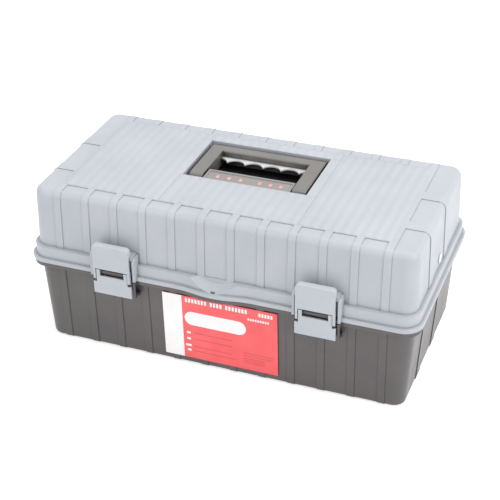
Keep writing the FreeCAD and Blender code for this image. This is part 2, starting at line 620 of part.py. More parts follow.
# Bracket of each latch: two cheeks rising in front of the rim with a bar across them,
# an open loop under the rim on each side, and a hole in the wall between cheek and loop
brackets, ports = [], []
loop_span = ("fin_front", "-base_top_half_depth + wall")
loop_gap = ("fin_front + gusset_bar", "-base_top_half_depth")
for side, sign in SIDES:
    middle = "%slatch_offset" % sign
    for tag, start in (("low", middle + " - cheek_inner - cheek_thickness"),
                       ("high", middle + " + cheek_inner")):
        profile = outline("cheek_profile_%s_%s" % (side, tag), [
            ("-base_top_half_depth + wall", "rim_height - rim_drop - 14"),
            ("-base_top_half_depth - 3", "rim_height - rim_drop - 10"),
            ("bar_y - 1.6", "rim_height - rim_drop"), ("bar_y - 1.6", "bar_height + 1.6"),
            ("bar_y + 1.6", "bar_height + 1.6"), ("bar_y + 3.2", "rim_height - 1"),
            ("-base_top_half_depth + wall", "rim_height - 1")])
        brackets.append(extrusion("cheek_%s_%s" % (side, tag), profile, "cheek_thickness", start))
    for tag, start in (("low", middle + " - fin_inner - gusset_thickness"),
                       ("high", middle + " + fin_inner")):
        across = (start, start + " + gusset_thickness")
        plate = box("loop_plate_%s_%s" % (side, tag), across, loop_span, ("gusset_foot", "rim_height - 1"))
        gap = box("loop_gap_%s_%s" % (side, tag), across, loop_gap,
                  ("gusset_foot + gusset_bar", "rim_height - rim_drop"))
        brackets.append(cut("loop_%s_%s" % (side, tag), plate, gap))
    for tag, span in (("low", (middle + " - port_outer", middle + " - port_inner")),
                      ("high", (middle + " + port_inner", middle + " + port_outer"))):
        ports.append(box("port_%s_%s" % (side, tag), span,
                         ("-base_top_half_depth", "-base_top_half_depth + 2 * wall"),
                         ("port_low", "port_high")))
    brackets.append(rod("latch_bar_" + side, "bar_radius",
                        (middle + " - bar_half_length", middle + " + bar_half_length"), "bar_y", "bar_height"))

# Blind bosses inside the base's ends, where the arms are riveted on
LONG_PIVOT = ("long_arm_y", "long_arm_height")
SHORT_PIVOT = ("short_arm_y", "short_arm_height")
LONG_SPAN = ("long_layer", "long_bore_end")
SHORT_SPAN = ("short_layer", "short_bore_end")


def span_on(side, inner, outer):
    """Bounds along X on one side of the case, for two distances from its middle."""
    return ("-(%s)" % outer, "-(%s)" % inner) if side == "left" else (inner, outer)


arm_bosses, pivot_holes = [], []
for side, sign in SIDES:
    for name, pivot, span in (("long", LONG_PIVOT, LONG_SPAN), ("short", SHORT_PIVOT, SHORT_SPAN)):
        face = span[0] + " + arm_thickness + layer_gap"
        arm_bosses.append(rod("arm_boss_%s_%s" % (name, side), "boss_radius",
                              span_on(side, face, span[1] + " - layer_gap"), *pivot))
        pivot_holes.append(rod("pivot_hole_%s_%s" % (name, side), "rivet_radius", span_on(side, *span), *pivot))
base_outside = fuse("base_outside", [base_slim, base_raised, rim, tongue] + brackets + base_knuckles)
base_hollow = cut("base_hollow", base_outside, fuse(
    "base_openings", [base_room_rounded, base_slot] + tongue_gaps + base_bores + ports))
finish("base_shell", cut("base_shell", fuse("base_with_bosses", [base_hollow] + arm_bosses),
                         fuse("pivot_holes", pivot_holes)))

def front_at(z):
    """Y of the base's front band level at a height."""
    flare = "(base_top_half_depth - base_foot_half_depth) / (rim_height - rim_drop + 1)"
    return "(-base_foot_half_depth - %s * (%s))" % (flare, z)


# Label on the front bands
label_profile = outline("label_profile", [
    (front_at("label_low"), "label_low"), (front_at("label_high"), "label_high"),
    (front_at("label_high") + " - label_thickness", "label_high"),
    (front_at("label_low") + " - label_thickness", "label_low")])
finish("front_label", extrusion("front_label", label_profile, "label_right - label_left", "label_left"))

# Dark insert in the handle recess: its floor and the plate that carries the handle's stubs
seat_plate = box("seat_plate", ("-recess_half_length + seat_gap", "recess_half_length - seat_gap"),
                 ("recess_front + seat_gap", "recess_rear - seat_gap"),
                 ("recess_floor", "recess_floor + seat_floor"))
seat_block = box("seat_block", ("-block_half_length", "block_half_length"),
                 ("recess_front + seat_gap", "block_rear"), ("recess_floor", "block_top"))
seat_round = rounded("seat_round", seat_block, "block_round", along_case("block_rear", "block_top"))
seat_sink = box("seat_sink", ("-block_half_length + border_width", "block_half_length - border_width"),
                ("recess_front + seat_gap + border_width", "block_rear - block_round - border_width"),
                ("block_top - border_depth", "block_top + 1"))
seat_bores = [rod("seat_bore_" + side, "trunnion_radius + running", span, "handle_axis_y", "handle_axis_height")
              for side, span in (("left", ("-block_half_length - 1", "-leg_inner + trunnion_length + 0.6")),
                                 ("right", ("leg_inner - trunnion_length - 0.6", "block_half_length + 1")))]
finish("handle_seat", cut("handle_seat", fuse("seat_solid", [seat_plate, seat_round]),
                          fuse("seat_cuts", [seat_sink] + seat_bores)))

# Handle: two legs with stubs and a grip bar between them, slotted for the pale strip
low = "handle_axis_height - handle_thickness / 2"
high = "handle_axis_height + handle_thickness / 2"
legs = []
for side, span in (("left", ("-leg_outer", "-leg_inner")), ("right", ("leg_inner", "leg_outer"))):
    legs.append(rod("leg_eye_" + side, "handle_thickness / 2", span, "handle_axis_y", "handle_axis_height"))
    legs.append(box("leg_" + side, span, ("handle_axis_y", "grip_rear"), (low, high)))
grip_block = box("grip_block", ("-leg_inner - 1", "leg_inner + 1"), ("grip_front", "grip_rear"), (low, high))
grip = rounded("grip", grip_block, "grip_front_round", along_case("grip_front", high))


def outer_top_edge(edge):
    """Picks the handle's upper edges along its outer sides and its rear."""
    bounds = edge.BoundBox
    on_top = bounds.ZMin > value(high) - 0.01
    on_side = bounds.XLength < 0.01 and abs(abs(bounds.Center.x) - value("leg_outer")) < 0.01
    on_rear = bounds.YLength < 0.01 and abs(bounds.Center.y - value("grip_rear")) < 0.01
    return on_top and (on_side or on_rear)


handle_solid = rounded("handle_solid", fuse("handle_blank", legs + [grip]), "handle_edge_round", outer_top_edge)


def strip_room(name):
    return box(name, ("-strip_half_length", "strip_half_length"), ("strip_front", "strip_rear"),
               ("strip_low", "strip_top"))


scallops = []
scallop_count = int(value("scallop_count"))
for index in range(scallop_count):
    scallop = doc.addObject("Part::Cylinder", "scallop_%d" % (index + 1))
    bind(scallop, "Radius", "scallop_radius")
    bind(scallop, "Height", "2 * (strip_top - strip_low)")
    place(scallop, "%s * scallop_pitch" % (index - (scallop_count - 1) / 2),
          "strip_front + scallop_depth - scallop_radius", "1.5 * strip_low - strip_top / 2")
    scallops.append(scallop)
finish("handle_grip", cut("handle_grip", strip_room("strip_block"), fuse("scallops", scallops)))
stubs = [rod("stub_" + side, "trunnion_radius", span, "handle_axis_y", "handle_axis_height")
         for side, span in (("left", ("-leg_inner - 1", "-leg_inner + trunnion_length")),
                            ("right", ("leg_inner - trunnion_length", "leg_inner + 1")))]
finish("handle", cut("handle", fuse("handle_whole", [handle_solid] + stubs), strip_room("strip_slot")))

def top_corner(edge):
    """Picks the two upper edges of a link's block that run across the case."""
    return edge.BoundBox.YLength > 1 and edge.BoundBox.ZMin > value("hook_top") - 0.01


# Draw latches: a lever on the base's bar, and a link whose hook lies over the lid's catch
for side, sign in SIDES:
    middle = "%slatch_offset" % sign
    plate_back = "lever_face + lever_plate"
    lever_parts = [
        box("lever_plate_" + side, (middle + " - latch_half_width", middle + " + latch_half_width"),
            ("lever_face", plate_back), ("lever_foot", "link_pin_height - lever_drop")),
        box("lever_neck_" + side, (middle + " - tongue_half", middle + " + tongue_half"),
            ("lever_face", plate_back), ("lever_foot", "lever_top"))]
    window = box("lever_window_" + side, (middle + " - window_half", middle + " + window_half"),
                 ("lever_face - 1", plate_back + " + 1"), ("window_low", "lever_top + 1"))
    ears = []
    pin_carriers = []
    for tag, start in (("low", middle + " - tongue_half"),
                       ("high", middle + " + tongue_half - ear_thickness")):
        span = (start, start + " + ear_thickness")
        ears.append(rod("lever_ear_%s_%s" % (side, tag), "ear_radius", span, "bar_y", "bar_height"))
        pin_carriers.append(box("pin_carrier_%s_%s" % (side, tag), span, ("lever_face", "link_pin_y + 2.4"),
                                ("link_pin_height - 2.4", "bar_height")))
    pins = []
    for tag, span in (("low", (middle + " - link_half_width + 0.2", middle + " - tongue_half + 1")),
                      ("high", (middle + " + tongue_half - 1", middle + " + link_half_width - 0.2"))):
        pins.append(rod("link_pin_%s_%s" % (side, tag), "link_pin_radius", span,
                        "link_pin_y", "link_pin_height"))
    lever_bore = rod("lever_bore_" + side, "bar_radius + running",
                     (middle + " - latch_half_width", middle + " + latch_half_width"), "bar_y", "bar_height")
    lever_solid = cut("lever_solid_" + side, fuse("lever_blank_" + side, lever_parts + ears + pin_carriers),
                      fuse("lever_cuts_" + side, [window, lever_bore]))
    lever_edges = rounded("lever_edges_" + side, lever_solid, "lever_bevel",
                          along_case("lever_face", "lever_foot"))
    finish("latch_lever_" + side, fuse("latch_lever_" + side, [lever_edges] + pins))

    link_back = "link_face + link_plate"
    link_plate = outline("link_profile_" + side, [
        ("link_face", "link_low"), (link_back, "link_low"), (link_back, "hook_low"), ("hook_tip", "hook_low"),
        ("hook_tip", "hook_top"), ("link_face + link_bevel", "hook_top"),
        ("link_face", "hook_top - link_bevel")])
    head_width = (middle + " - link_half_width", middle + " + link_half_width")
    head_block = box("link_block_" + side, head_width, ("link_face - 1", "hook_tip + 1"),
                     ("link_low", "hook_top"))
    head_shape = rounded("link_corners_" + side, head_block, "link_corner", top_corner)
    link_head = common("link_head_" + side, extrusion(
        "link_bar_" + side, link_plate, "2 * link_half_width", head_width[0]), head_shape)
    link_legs, link_eyes = [], []
    for tag, start in (("low", middle + " - link_half_width"),
                       ("high", middle + " + link_half_width - leg_width")):
        span = (start, start + " + leg_width")
        link_legs.append(box("link_leg_%s_%s" % (side, tag), span,
                             ("link_face", "link_face + 1.5 * link_plate"),
                             ("link_pin_height", "link_low + 1")))
        link_legs.append(rod("link_toe_%s_%s" % (side, tag), "link_pin_y - link_face", span,
                             "link_pin_y", "link_pin_height"))
        link_eyes.append(rod("link_bore_%s_%s" % (side, tag), "link_pin_radius + running",
                             (start + " - 1", start + " + leg_width + 1"), "link_pin_y", "link_pin_height"))
    link_solid = fuse("link_solid_" + side, [link_head] + link_legs)
    finish("latch_link_" + side, cut("latch_link_" + side, link_solid, fuse("link_eyes_" + side, link_eyes)))


# Tray mechanism: two pairs of arms keep both trays level while the lid lifts them
MIDDLE_PIN = (LONG_PIVOT[0] + " + middle_pin_dy", LONG_PIVOT[1] + " + middle_pin_dz")
REAR_PIN = (SHORT_PIVOT[0] + " + middle_pin_dy", SHORT_PIVOT[1] + " + middle_pin_dz")
LID_PIN = ("lid_rivet_y", "lid_rivet_height")
TOP_PIN = (LONG_PIVOT[0] + " + lid_rivet_y - hinge_axis_y", LONG_PIVOT[1] + " + lid_rivet_height - rim_height")


def new_body(name):
    return finish(name, doc.addObject("PartDesign::Body", name))


def sketch_on(body, name, role, offset):
    """A sketch on one of the body's own planes, moved along the plane's normal."""
    sketch = body.newObject("Sketcher::SketchObject", name)
    plane = next(feature for feature in body.Origin.OriginFeatures if feature.Role == role)
    sketch.AttachmentSupport = [(plane, "")]
    sketch.MapMode = "FlatFace"
    bind(sketch, "AttachmentOffset.Base.z", offset)
    return sketch


def fix_point(sketch, geometry, position, point):
    """Binds a point of the sketch to two expressions."""
    for kind, text in zip(("DistanceX", "DistanceY"), point):
        row = sketch.addConstraint(Sketcher.Constraint(kind, -1, 1, geometry, position, value(text)))
        sketch.setExpression("Constraints[%d]" % row, ex(text))


def draw_circles(sketch, points, radius):
    for point in points:
        circle = Part.Circle(Vector(value(point[0]), value(point[1]), 0), Vector(0, 0, 1), value(radius))
        index = sketch.addGeometry(circle, False)
        fix_point(sketch, index, 3, point)
        row = sketch.addConstraint(Sketcher.Constraint("Radius", index, value(radius)))
        sketch.setExpression("Constraints[%d]" % row, ex(radius))


def draw_link(sketch, start, end, radius):
    """A bar with round ends between two pivots."""
    first = Vector(value(start[0]), value(start[1]), 0)
    last = Vector(value(end[0]), value(end[1]), 0)
    size = value(radius)
    along = (last - first).normalize()
    across = Vector(-along.y, along.x, 0) * size
    base = sketch.addGeometry([
        Part.LineSegment(first + across, last + across),
        Part.LineSegment(last - across, first - across),
        Part.Arc(last + across, last + along * size, last - across),
        Part.Arc(first - across, first - along * size, first + across)], False)[0]
    upper, lower, far, near = base, base + 1, base + 2, base + 3
    # Each arc runs anticlockwise, so its ends meet the lines in this order
    sketch.addConstraint(Sketcher.Constraint("Tangent", upper, 2, far, 2))
    sketch.addConstraint(Sketcher.Constraint("Tangent", far, 1, lower, 1))
    sketch.addConstraint(Sketcher.Constraint("Tangent", lower, 2, near, 2))
    sketch.addConstraint(Sketcher.Constraint("Tangent", near, 1, upper, 1))
    fix_point(sketch, far, 3, end)
    fix_point(sketch, near, 3, start)
    row = sketch.addConstraint(Sketcher.Constraint("Radius", far, size))
    sketch.setExpression("Constraints[%d]" % row, ex(radius))


def pad(body, sketch, length, reverse=False):
    item = body.newObject("PartDesign::Pad", sketch.Name + "_pad")
    item.Profile = sketch
    bind(item, "Length", length)
    item.Reversed = reverse
    return item


def pocket(body, sketch, length, reverse=False):
    item = body.newObject("PartDesign::Pocket", sketch.Name + "_pocket")
    item.Profile = sketch
    bind(item, "Length", length)
    item.Reversed = reverse
    return item


def arm(name, side, layer, pivots):
    """An arm plate through its pivots, with a running hole at each."""
    body = new_body(name)
    low = layer if side == "right" else "-(%s) - arm_thickness" % layer
    for index in range(len(pivots) - 1):
        sketch = sketch_on(body, "%s_bar_%d" % (name, index + 1), "YZ_Plane", low)
        draw_link(sketch, pivots[index], pivots[index + 1], "arm_radius")
        pad(body, sketch, "arm_thickness")
    holes = sketch_on(body, name + "_holes", "YZ_Plane", low + " + arm_thickness")
    draw_circles(holes, pivots, "rivet_radius + running")
    pocket(body, holes, "arm_thickness")
    return body


for side, sign in SIDES:
    arm("long_arm_" + side, side, "long_layer", [LONG_PIVOT, MIDDLE_PIN, TOP_PIN])
    arm("short_arm_" + side, side, "short_layer", [SHORT_PIVOT, REAR_PIN])


def draw_box(sketch, left, right, front, rear, radius):
    """A rectangle with rounded corners between four bounds."""
    a, b, c, d, r = (value(text) for text in (left, right, front, rear, radius))
    sketch.addGeometry([
        Part.LineSegment(Vector(a + r, c, 0), Vector(b - r, c, 0)),
        Part.LineSegment(Vector(b, c + r, 0), Vector(b, d - r, 0)),
        Part.LineSegment(Vector(b - r, d, 0), Vector(a + r, d, 0)),
        Part.LineSegment(Vector(a, d - r, 0), Vector(a, c + r, 0))], False)
    for index, (x, y) in enumerate(((b - r, c + r), (b - r, d - r), (a + r, d - r), (a + r, c + r))):
        circle = Part.Circle(Vector(x, y, 0), Vector(0, 0, 1), r)
        sketch.addGeometry(Part.ArcOfCircle(circle, (index - 1) * QUARTER_TURN, index * QUARTER_TURN), False)
    for index in range(4):
        sketch.addConstraint(Sketcher.Constraint("Tangent", index, 2, 4 + index, 1))
        sketch.addConstraint(Sketcher.Constraint("Tangent", 4 + index, 2, (index + 1) % 4, 1))
        sketch.addConstraint(Sketcher.Constraint(("Horizontal", "Vertical")[index % 2], index))
        if index:
            sketch.addConstraint(Sketcher.Constraint("Equal", 4, 4 + index))
    for kind, geometry, number, text in (
            ("Radius", (4,), r, radius),
            ("DistanceX", (-1, 1, 1, 1), b, right), ("DistanceX", (-1, 1, 3, 1), a, left),
            ("DistanceY", (-1, 1, 0, 1), c, front), ("DistanceY", (-1, 1, 2, 1), d, rear)):
        row = sketch.addConstraint(Sketcher.Constraint(kind, *geometry, number))
        sketch.setExpression("Constraints[%d]" % row, ex(text))


def tray(name, low, height, dividers, bosses):
    """An open tray: pad, pocket, grooves for its dividers and a boss at each pivot."""
    body = new_body(name)
    top = "%s + %s" % (low, height)
    plan = sketch_on(body, name + "_plan", "XY_Plane", low)
    draw_box(plan, "-tray_half_length", "tray_half_length", "tray_front", "tray_rear", "tray_corner")
    pad(body, plan, height)
    room = sketch_on(body, name + "_room", "XY_Plane", top)
    draw_box(room, "-tray_half_length + tray_wall", "tray_half_length - tray_wall", "tray_front + tray_wall",
             "tray_rear - tray_wall", "tray_corner - tray_wall")
    pocket(body, room, height + " - tray_wall")
    for index in range(dividers):
        middle = divider_place(index, dividers)
        groove = sketch_on(body, "%s_groove_%d" % (name, index + 1), "XY_Plane", top)
        half = "divider_thickness / 2 + divider_gap / 2"
        draw_box(groove, "%s - (%s)" % (middle, half), "%s + %s" % (middle, half),
                 "tray_front + tray_wall - groove_depth", "tray_rear - tray_wall + groove_depth", "divider_gap")
        pocket(body, groove, height + " - tray_wall")
    for side, sign in SIDES:
        left = side == "left"
        for tag, pin, radius, end, hole, depth in bosses:
            foot = sketch_on(body, "%s_boss_%s_%s" % (name, tag, side), "YZ_Plane", sign + "tray_half_length")
            draw_circles(foot, [pin], radius)
            pad(body, foot, end + " - tray_half_length", reverse=left)
            mouth = sketch_on(body, "%s_bore_%s_%s" % (name, tag, side), "YZ_Plane", "%s(%s)" % (sign, end))
            draw_circles(mouth, [pin], hole)
            pocket(body, mouth, depth, reverse=left)
        doc.recompute()
    return body


def divider_place(index, count):
    """Where a divider stands along the tray, evenly spaced."""
    return "((%d) * tray_half_length * 2 / %d - tray_half_length)" % (index + 1, count + 1)


short_face, long_face = "(short_layer - layer_gap)", "(long_layer - layer_gap)"
LOWER_DIVIDERS, UPPER_DIVIDERS = 2, 3
tray("lower_tray", "lower_tray_low", "lower_tray_height", LOWER_DIVIDERS, [
    ("middle", MIDDLE_PIN, "boss_radius", long_face, "rivet_radius", long_face + " - tray_half_length"),
    ("rear", REAR_PIN, "boss_radius", short_face, "rivet_radius", short_face + " - tray_half_length")])
tray("upper_tray", "upper_tray_low", "upper_tray_height", UPPER_DIVIDERS, [
    ("top", TOP_PIN, "boss_radius", long_face, "rivet_radius", long_face + " - tray_half_length"),
    ("lid", LID_PIN, "lid_boss_radius", "lid_boss_end", "rivet_radius + running",
     "lid_boss_end - tray_half_length")])

for name, low, height, count in (("lower_tray", "lower_tray_low", "lower_tray_height", LOWER_DIVIDERS),
                                 ("upper_tray", "upper_tray_low", "upper_tray_height", UPPER_DIVIDERS)):
    for index in range(count):
        middle = divider_place(index, count)
        label = "%s_divider_%d" % (name, index + 1)
        across = (middle + " - divider_thickness / 2", middle + " + divider_thickness / 2")
        finish(label, box(label, across,
                          ("tray_front + tray_wall - groove_depth + divider_gap / 2",
                           "tray_rear - tray_wall + groove_depth - divider_gap / 2"),
                          ("%s + tray_wall" % low, "%s + %s - divider_drop" % (low, height))))


def rivet(name, side, pin, head_radius, head, shank):
    """A rivet along X: a head between two distances from the case's middle, and its shank."""
    return fuse(name, [rod(name + "_head", head_radius, span_on(side, *head), *pin),
                       rod(name + "_shank", "rivet_radius", span_on(side, *shank), *pin)])


def rivet_group(name, kinds):
    """All rivets of one kind of body as one node of separate solids."""
    rivets = []
    for side, sign in SIDES:
        for tag, pin, head_radius, head, shank in kinds:
            rivets.append(rivet("%s_%s_%s" % (name, tag, side), side, pin, head_radius, head, shank))
    group = doc.addObject("Part::Compound", name)
    group.Links = rivets
    finish(name, group)


def outer_head(layer):
    """Head and shank of a rivet that holds an arm on a tray, head outwards."""
    face = layer + " + arm_thickness + layer_gap"
    return (face, face + " + rivet_head_height"), ("tray_half_length", face)


def inner_head(layer, end):
    """Head and shank of a rivet that holds an arm on the base, head inwards."""
    face = layer + " - layer_gap"
    return (face + " - rivet_head_height", face), (face, end)


rivet_group("base_rivets", [("long", LONG_PIVOT, "rivet_head") + inner_head(*LONG_SPAN),
                            ("short", SHORT_PIVOT, "rivet_head") + inner_head(*SHORT_SPAN)])
rivet_group("lower_tray_rivets", [("middle", MIDDLE_PIN, "rivet_head") + outer_head("long_layer"),
                                  ("rear", REAR_PIN, "rivet_head") + outer_head("short_layer")])
rivet_group("upper_tray_rivets", [("top", TOP_PIN, "rivet_head") + outer_head("long_layer")])
rivet_group("lid_rivets", [("lid", LID_PIN, "lid_rivet_head",
                            ("lid_rivet_seat", "lid_rivet_seat + lid_rivet_head_height"),
                            ("tray_half_length + layer_gap", "lid_rivet_seat"))])

# Check every object, then write one file for each sub-part
doc.recompute()
for item in doc.Objects:
    if "Invalid" in item.State or "Error" in item.State:
        raise SystemExit("failed: %s %s" % (item.Name, list(item.State)))
for name, item in nodes.items():
    if item.Shape.isNull() or not item.Shape.isValid():
        raise SystemExit("no valid shape: " + name)
os.makedirs(PARTS_FOLDER, exist_ok=True)
for name, item in nodes.items():
    item.Shape.exportStep(os.path.join(PARTS_FOLDER, name + ".step"))
    print("%-24s solids %d  volume %9.1f mm3" % (name, len(item.Shape.Solids), item.Shape.Volume))
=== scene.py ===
"""Looks of a tool case: a dark base, a tall pale lid with a folding handle, two draw latches and
two trays on arms inside.

Lengths are written in millimetres and turned to metres by MM. X runs along the case, Y from the
front (negative) to the hinge side, Z up, from the middle of the base's underside.
"""
import json
import math

import bmesh
import bpy
from mathutils import Matrix, Vector


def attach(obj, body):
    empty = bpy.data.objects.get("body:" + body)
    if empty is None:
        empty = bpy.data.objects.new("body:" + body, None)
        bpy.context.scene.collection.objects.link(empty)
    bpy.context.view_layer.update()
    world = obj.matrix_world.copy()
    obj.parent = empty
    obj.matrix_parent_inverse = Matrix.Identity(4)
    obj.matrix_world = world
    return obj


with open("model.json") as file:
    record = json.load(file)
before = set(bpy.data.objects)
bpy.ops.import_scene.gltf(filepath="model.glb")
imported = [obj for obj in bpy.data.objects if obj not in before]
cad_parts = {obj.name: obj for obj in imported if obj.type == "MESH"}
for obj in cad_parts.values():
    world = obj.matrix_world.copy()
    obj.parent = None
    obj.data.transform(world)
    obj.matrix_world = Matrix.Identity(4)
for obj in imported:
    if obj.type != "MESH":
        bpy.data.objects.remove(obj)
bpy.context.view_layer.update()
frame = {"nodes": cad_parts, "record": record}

MM = 0.001

# Sizes of the case that its loose details follow, as the moulds have them
PANEL_HALF_LENGTH = 168.9
PANEL_HALF_DEPTH = 73.8
PANEL_HEIGHT = 169.0
BAND_WIDTH = 7.4
BAND_COUNT = 12
RECESS_HALF_LENGTH = 64.2
RECESS_FRONT = -17.3
RECESS_REAR = 59.7
PLATE_TOP = 166.0
PLATE_EDGE_HEIGHT = 0.8

# How strongly an outer edge takes the painted highlight colour
EDGE_HIGHLIGHT = 0.9


def linear(hex_colour):
    """Turns an sRGB hex value into the linear colour that a shader takes."""
    channels = [int(hex_colour[start:start + 2], 16) / 255 for start in (1, 3, 5)]
    return [c / 12.92 if c <= 0.04045 else ((c + 0.055) / 1.055) ** 2.4 for c in channels] + [1.0]


def add(tree, kind, links=(), **settings):
    """Adds a node. links pairs an input's name or number with a socket or a plain value."""
    made = tree.nodes.new(kind)
    for field, setting in settings.items():
        setattr(made, field, setting)
    for key, source in dict(links).items():
        if isinstance(source, bpy.types.NodeSocket):
            tree.links.new(source, made.inputs[key])
        else:
            made.inputs[key].default_value = source
    return made


def pattern_scale(millimetres):
    """Scale of a texture on Object coordinates, in metres, whose features are that many millimetres."""
    return 1 / (millimetres * MM)


# Materials


def new_material(name):
    """An empty material and its tree, with the object's own coordinates to start from."""
    material = bpy.data.materials.new(name)
    material.use_nodes = True
    tree = material.node_tree
    tree.nodes.clear()
    place = add(tree, "ShaderNodeTexCoord").outputs["Object"]
    return material, tree, place


def finish_material(material, tree, shader):
    add(tree, "ShaderNodeOutputMaterial", {"Surface": shader.outputs[0]})
    return material


def tint(tree, factor, low, high):
    """A colour between two hex values."""
    return add(tree, "ShaderNodeMix", {"Factor": factor, "A": linear(low), "B": linear(high)},
               data_type="RGBA")


def spread(tree, source, low, high, from_low=0.3, from_high=0.7):
    """A pattern's value turned into the range that a socket needs."""
    return add(tree, "ShaderNodeMapRange", {
        "Value": source, "From Min": from_low, "From Max": from_high, "To Min": low, "To Max": high})


def painted_edge_highlight(tree, radius_mm):
    """Mask for the painted edge highlight: how much a surface turns within a small radius, 0 on a flat,
    towards 1 on an outer edge.
    """
    soft = add(tree, "ShaderNodeBevel", {"Radius": radius_mm * MM}, samples=4)
    true = add(tree, "ShaderNodeNewGeometry")
    turn = add(tree, "ShaderNodeVectorMath", {0: soft.outputs["Normal"], 1: true.outputs["Normal"]},
               operation="DOT_PRODUCT")
    lost = add(tree, "ShaderNodeMath", {0: 1.0, 1: turn.outputs["Value"]}, operation="SUBTRACT")
    return add(tree, "ShaderNodeMath", {0: lost.outputs[0], 1: EDGE_HIGHLIGHT}, operation="MULTIPLY",
               use_clamp=True)


def painted_gap_shade(tree, colour, reach_mm, darkest, open_from=0.35, open_to=0.85):
    """Painted shade: the colour darkened by ambient occlusion where the surface lies deep in a gap."""
    hollow = add(tree, "ShaderNodeAmbientOcclusion", {"Distance": reach_mm * MM}, samples=8)
    light = spread(tree, hollow.outputs["AO"], darkest, 1.0, open_from, open_to)
    return add(tree, "ShaderNodeMix", {"Factor": 1.0, "A": colour, "B": light.outputs[0]},
               data_type="RGBA", blend_type="MULTIPLY")


def moulded(name, colours, edge_highlight_colour, roughness, grain_mm, grain_depth_mm, ior=1.5, edge_mm=0.5,
            gap_shade_mm=5.0, gap_shade=0.35):
    """Injection-moulded plastic: soft cloudy colour and a fine eroded grain, with a painted highlight on
    outer edges and painted shade in gaps.
    """
    material, tree, place = new_material(name)
    cloud = add(tree, "ShaderNodeTexNoise", {"Vector": place, "Scale": pattern_scale(45), "Detail": 3.0})
    even = tint(tree, spread(tree, cloud.outputs[0], 0.0, 1.0).outputs[0], *colours)
    # Painted shade, darkest deep in gaps and recesses
    body = painted_gap_shade(tree, even.outputs["Result"], gap_shade_mm, gap_shade)
    colour, skin = body, {}
    if edge_mm:
        # Painted highlight: outer edges lightened towards a paler colour, as where rounded edges catch the
        # light
        edge = painted_edge_highlight(tree, edge_mm)
        colour = add(tree, "ShaderNodeMix", {"Factor": edge.outputs[0], "A": body.outputs["Result"],
                                             "B": linear(edge_highlight_colour)}, data_type="RGBA")
        soft = add(tree, "ShaderNodeBevel", {"Radius": edge_mm * MM}, samples=4)
        skin = {"Normal": soft.outputs["Normal"]}
    handled = add(tree, "ShaderNodeTexNoise", {"Vector": place, "Scale": pattern_scale(18), "Detail": 5.0})
    gloss = spread(tree, handled.outputs[0], roughness - 0.04, roughness + 0.04)
    grain = add(tree, "ShaderNodeTexNoise", {"Vector": place, "Scale": pattern_scale(grain_mm),
                                             "Detail": 2.0})
    rough_skin = add(tree, "ShaderNodeBump", {"Strength": 1.0, "Distance": grain_depth_mm * MM,
                                              "Height": grain.outputs[0], **skin})
    shader = add(tree, "ShaderNodeBsdfPrincipled", {
        "Base Color": colour.outputs["Result"], "Roughness": gloss.outputs[0], "IOR": ior,
        "Normal": rough_skin.outputs["Normal"]})
    return finish_material(material, tree, shader)


LID_COLOURS = ("#B1B5BC", "#B8BCC2")
LID_EDGE_HIGHLIGHT = "#D6D9DE"


def lid_polypropylene():
    """Pale blue-grey copolymer from an eroded mould: even, satin, with a painted highlight on its edges and
    painted shade in its gaps.
    """
    return moulded("lid_moulded_polypropylene", LID_COLOURS, LID_EDGE_HIGHLIGHT, 0.42, 1.1, 0.012,
                   gap_shade_mm=4.0, gap_shade=0.6)


def rib_polypropylene():
    """The lid's copolymer on its wavy ribs, with painted shade in gaps and no painted edge highlight, as
    they have no edge.
    """
    return moulded("rib_moulded_polypropylene", LID_COLOURS, LID_EDGE_HIGHLIGHT, 0.42, 1.1, 0.012,
                   edge_mm=0, gap_shade_mm=4.0, gap_shade=0.6)


def base_polypropylene():
    """Warm dark grey copolymer with reground stock: a greyer painted highlight along the sides of a band
    and other edges, and painted shade in gaps.
    """
    return moulded("base_moulded_polypropylene", ("#555152", "#5E5A5A"), "#817D7C", 0.36, 1.1, 0.014)


def handle_nylon():
    """Glass-filled nylon, moulded glossy: a mid grey that stands for the lit top with its sheen, a painted
    highlight on edges, and deep painted shade that darkens the sides down in the recess.
    """
    # Painted shade reaching 24 mm, down to a tenth of the colour, darkens the sides deep in the recess
    return moulded("handle_moulded_nylon", ("#73706D", "#7C7975"), "#B0ADA8", 0.3, 1.4, 0.008,
                   edge_mm=0.8, gap_shade_mm=24.0, gap_shade=0.1)


def grip_polypropylene():
    """The strip under the fingers, in a pale colour that is a painted highlight: the glint on the grip's
    ledge, with painted shade in gaps.
    """
    return moulded("grip_painted_highlight_plastic", ("#D2D4D6", "#DADCDD"), "#ECEDEE", 0.36, 1.1, 0.008)


# The plate's grey, which stands for its lit sheen, starts between these depths under its top, and all below
# is near black painted shade on the well's floor
LIT_PLATE_LOW = 1.8
LIT_PLATE_HIGH = 1.4


